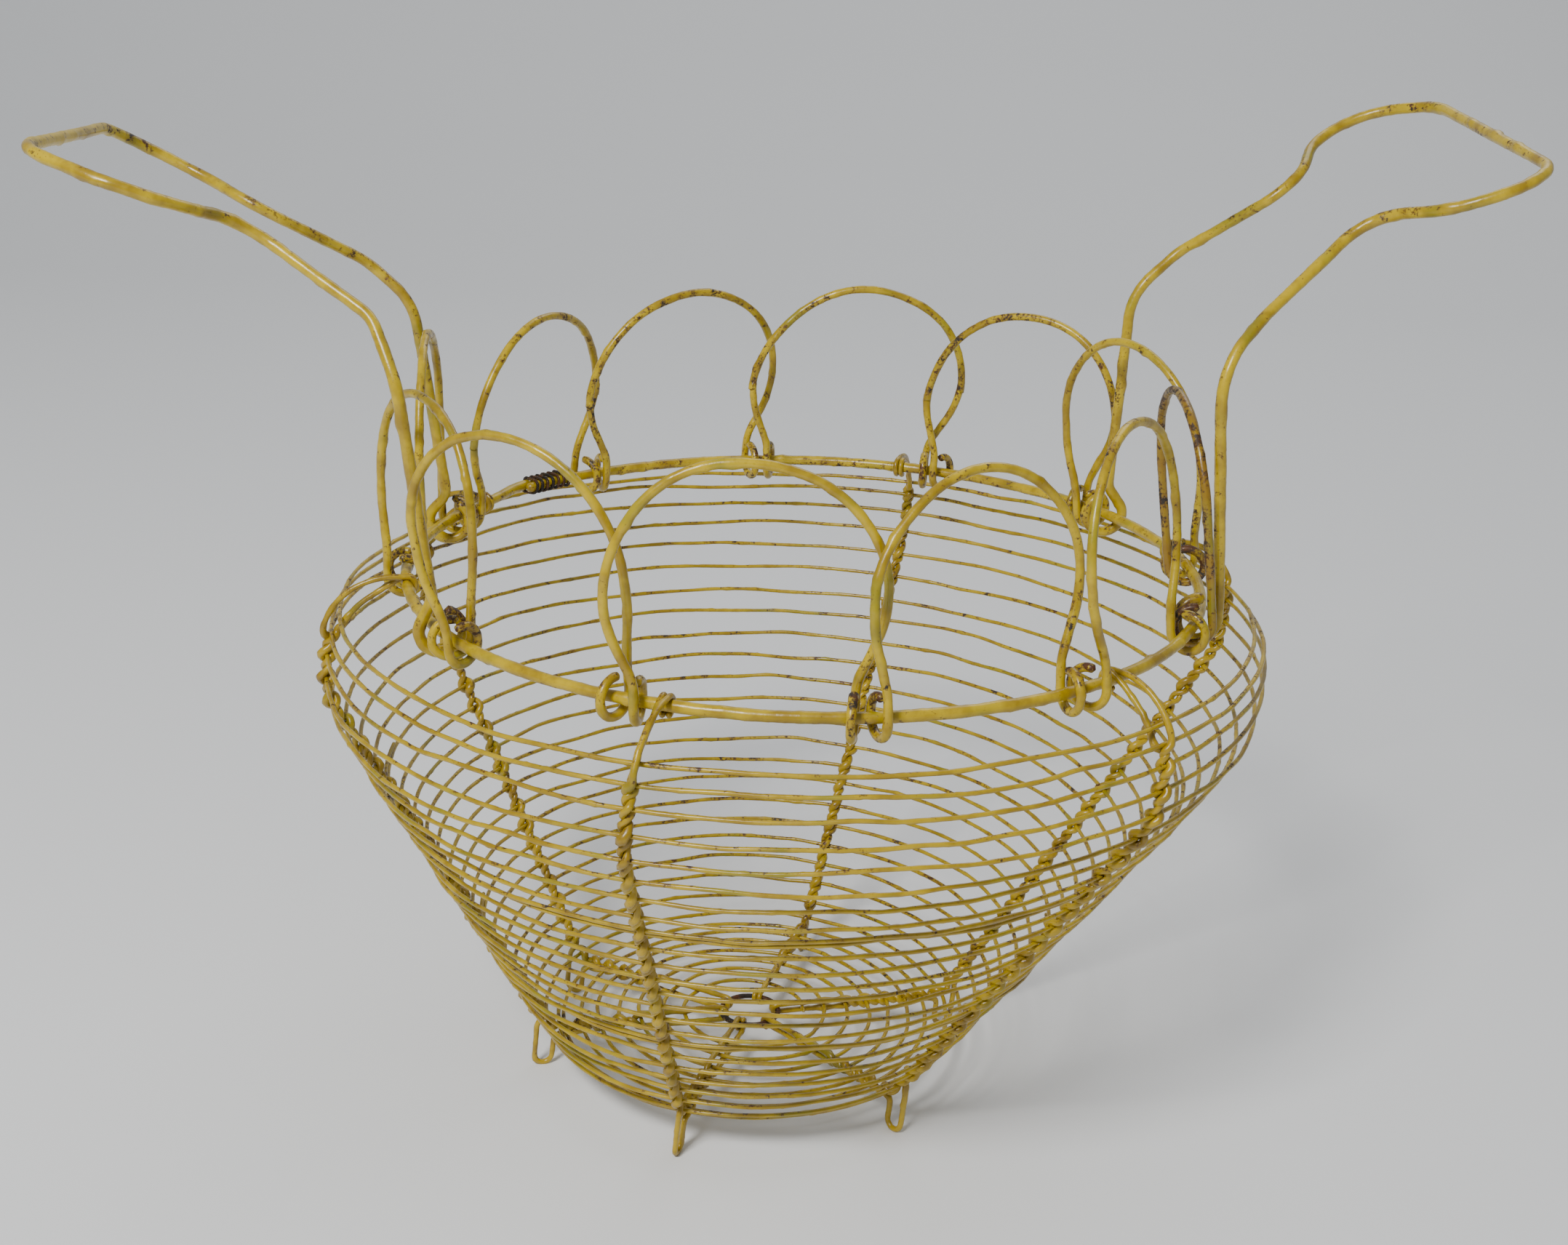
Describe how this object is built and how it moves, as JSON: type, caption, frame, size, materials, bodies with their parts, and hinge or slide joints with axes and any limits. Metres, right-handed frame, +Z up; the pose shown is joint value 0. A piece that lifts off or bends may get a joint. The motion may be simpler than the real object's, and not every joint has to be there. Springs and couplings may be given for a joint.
{
  "type": "wire egg and salad basket",
  "caption": "Round-bellied wire basket of spirally wound wire on twisted ribs, with folding rim petals, two hinged carrying handles and loop feet.",
  "frame": {"origin": "below the middle of the rim and handles, on the plane the feet stand on; the wound body leans, so its base is centred about 13 mm to -X", "axes": "+Z up, +X from the left handle to the right handle, the longest way across"},
  "size_m": [0.3957, 0.2738, 0.293],
  "materials": {
    "enamel": "thick brushed mustard-yellow enamel, glossy, chipped to dark metal",
    "enamel_thin": "thin mustard-yellow enamel worn through to dark metal along the wire",
    "dark_wire": "rust-dark wire with remains of yellow enamel"
  },
  "bodies": {
    "basket": {"rim_ring": "enamel", "rim_binding": "dark_wire", "base_winding": "enamel_thin", "lower_winding": "enamel_thin", "middle_winding": "enamel_thin", "upper_winding": "enamel_thin", "hub_ring": "dark_wire", "rib_1_outer_strand": "enamel", "rib_1_inner_strand": "enamel", "rib_2_outer_strand": "enamel", "rib_2_inner_strand": "enamel", "rib_3_outer_strand": "enamel", "rib_3_inner_strand": "enamel", "rib_4_outer_strand": "enamel", "rib_4_inner_strand": "enamel", "rib_5_outer_strand": "enamel", "rib_5_inner_strand": "enamel", "rib_6_outer_strand": "enamel", "rib_6_inner_strand": "enamel"},
    "petal_01": {"petal_01": "enamel"},
    "petal_02": {"petal_02": "enamel"},
    "petal_03": {"petal_03": "enamel"},
    "petal_04": {"petal_04": "enamel"},
    "petal_05": {"petal_05": "enamel"},
    "petal_06": {"petal_06": "enamel"},
    "petal_07": {"petal_07": "enamel"},
    "petal_08": {"petal_08": "enamel"},
    "petal_09": {"petal_09": "enamel"},
    "petal_10": {"petal_10": "enamel"},
    "petal_11": {"petal_11": "enamel"},
    "petal_12": {"petal_12": "enamel"},
    "handle_right": {"handle_right": "enamel"},
    "handle_left": {"handle_left": "enamel"}
  },
  "joints": [
    {"name": "petal_01_fold", "type": "hinge", "parent": "basket", "child": "petal_01", "pos_m": [-0.08958, 0.06701, 0.161], "axis": [0.599, 0.8007, 0], "range_deg": [0, 79.6]},
    {"name": "petal_02_fold", "type": "hinge", "parent": "basket", "child": "petal_02", "pos_m": [-0.04407, 0.10282, 0.161], "axis": [0.9191, 0.3939, 0], "range_deg": [0, 81.25]},
    {"name": "petal_03_fold", "type": "hinge", "parent": "basket", "child": "petal_03", "pos_m": [0.01325, 0.11108, 0.161], "axis": [0.993, -0.1184, 0], "range_deg": [0, 89.05]},
    {"name": "petal_04_fold", "type": "hinge", "parent": "basket", "child": "petal_04", "pos_m": [0.06701, 0.08958, 0.161], "axis": [0.8007, -0.599, 0], "range_deg": [0, 93.55]},
    {"name": "petal_05_fold", "type": "hinge", "parent": "basket", "child": "petal_05", "pos_m": [0.10282, 0.04407, 0.161], "axis": [0.3939, -0.9191, 0], "range_deg": [0, 81.95]},
    {"name": "petal_06_fold", "type": "hinge", "parent": "basket", "child": "petal_06", "pos_m": [0.11108, -0.01325, 0.161], "axis": [-0.1184, -0.993, 0], "range_deg": [0, 80.55]},
    {"name": "petal_07_fold", "type": "hinge", "parent": "basket", "child": "petal_07", "pos_m": [0.08958, -0.06701, 0.161], "axis": [-0.599, -0.8007, 0], "range_deg": [0, 83.25]},
    {"name": "petal_08_fold", "type": "hinge", "parent": "basket", "child": "petal_08", "pos_m": [0.04407, -0.10282, 0.161], "axis": [-0.9191, -0.3939, 0], "range_deg": [0, 82.65]},
    {"name": "petal_09_fold", "type": "hinge", "parent": "basket", "child": "petal_09", "pos_m": [-0.01325, -0.11108, 0.161], "axis": [-0.993, 0.1184, 0], "range_deg": [0, 89.65]},
    {"name": "petal_10_fold", "type": "hinge", "parent": "basket", "child": "petal_10", "pos_m": [-0.06701, -0.08958, 0.161], "axis": [-0.8007, 0.599, 0], "range_deg": [0, 96.05]},
    {"name": "petal_11_fold", "type": "hinge", "parent": "basket", "child": "petal_11", "pos_m": [-0.10282, -0.04407, 0.161], "axis": [-0.3939, 0.9191, 0], "range_deg": [0, 88.75]},
    {"name": "petal_12_fold", "type": "hinge", "parent": "basket", "child": "petal_12", "pos_m": [-0.11108, 0.01325, 0.161], "axis": [0.1184, 0.993, 0], "range_deg": [0, 89.55]},
    {"name": "handle_right_swing", "type": "hinge", "parent": "basket", "child": "handle_right", "pos_m": [0.10282, 0.01482, 0.161], "axis": [-0.1426, 0.9898, 0], "range_deg": [-1, 86]},
    {"name": "handle_left_swing", "type": "hinge", "parent": "basket", "child": "handle_left", "pos_m": [-0.10282, -0.01482, 0.161], "axis": [0.1426, -0.9898, 0], "range_deg": [0, 86]}
  ],
  "couplings": [
    {"joint": "petal_02_fold", "follows": "petal_01_fold", "ratio": 1.0201},
    {"joint": "petal_03_fold", "follows": "petal_01_fold", "ratio": 1.1181},
    {"joint": "petal_04_fold", "follows": "petal_01_fold", "ratio": 1.1746},
    {"joint": "petal_05_fold", "follows": "petal_01_fold", "ratio": 1.0289},
    {"joint": "petal_06_fold", "follows": "petal_01_fold", "ratio": 1.0113},
    {"joint": "petal_07_fold", "follows": "petal_01_fold", "ratio": 1.0452},
    {"joint": "petal_08_fold", "follows": "petal_01_fold", "ratio": 1.0377},
    {"joint": "petal_09_fold", "follows": "petal_01_fold", "ratio": 1.1256},
    {"joint": "petal_10_fold", "follows": "petal_01_fold", "ratio": 1.206},
    {"joint": "petal_11_fold", "follows": "petal_01_fold", "ratio": 1.1143},
    {"joint": "petal_12_fold", "follows": "petal_01_fold", "ratio": 1.1244}
  ]
}
